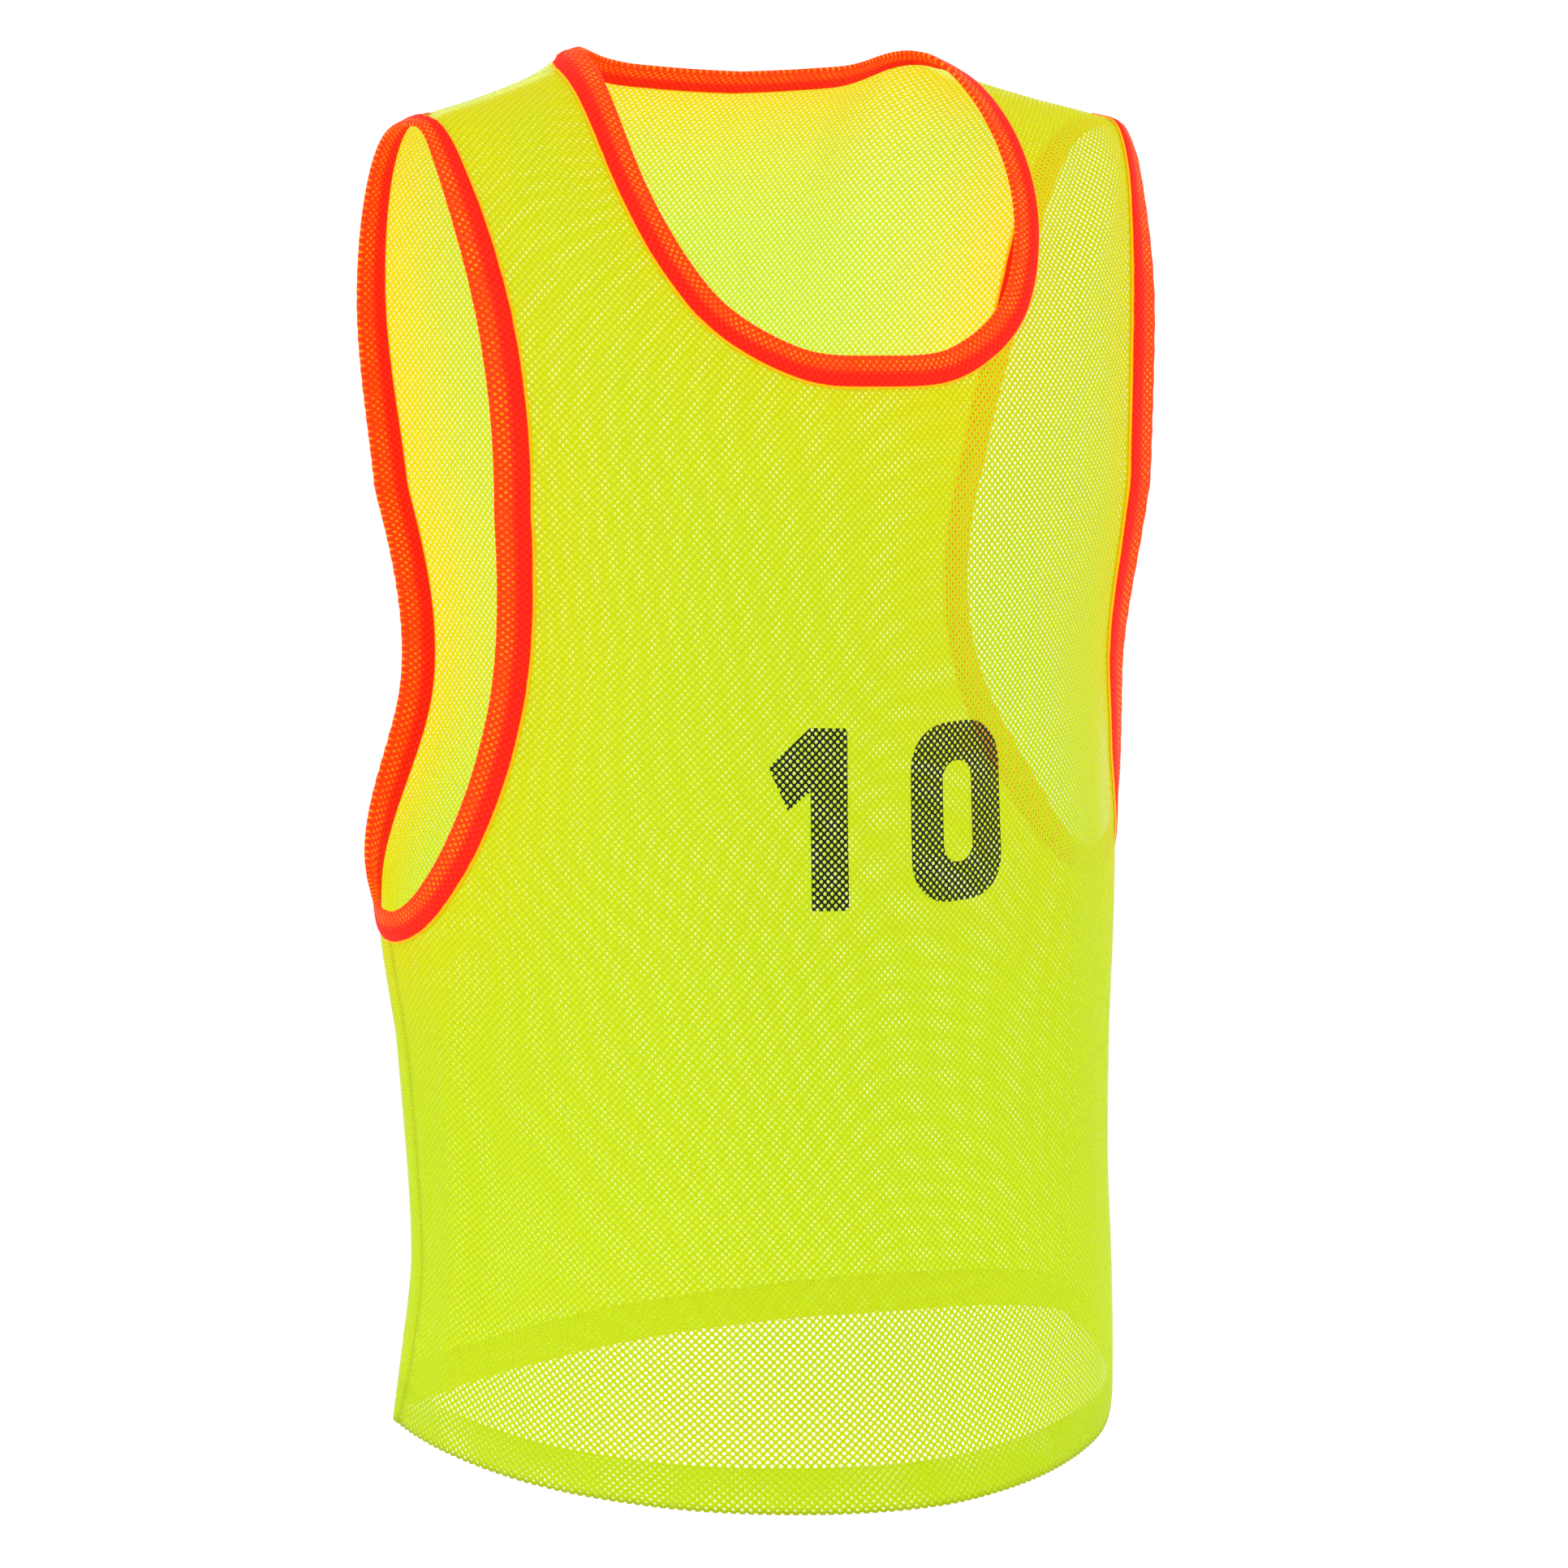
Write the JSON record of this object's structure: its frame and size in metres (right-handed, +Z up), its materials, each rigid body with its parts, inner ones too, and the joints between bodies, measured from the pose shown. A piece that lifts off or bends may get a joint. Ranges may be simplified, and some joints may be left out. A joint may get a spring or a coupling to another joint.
{
  "type": "training bib",
  "caption": "Sleeveless mesh training bib in fluorescent yellow with orange folded tape round the neck and armholes, shaped as worn, hollow inside.",
  "frame": {"origin": "midway between the two places where the neck tape's inner edge crosses the shoulder seams, where the wearer's shoulders hold the bib up", "axes": "+Z up along the body, the wearer faces -Y, +X towards the wearer's left"},
  "size_m": [0.4159, 0.3056, 0.6983],
  "materials": {
    "yellow_mesh": "matt fluorescent open mesh",
    "orange_tape": "matt fluorescent mesh tape"
  },
  "bodies": {
    "root": {"front_panel": "yellow_mesh", "back_panel": "yellow_mesh", "neck_binding": "orange_tape", "armhole_binding_left": "orange_tape", "armhole_binding_right": "orange_tape"}
  },
  "joints": []
}
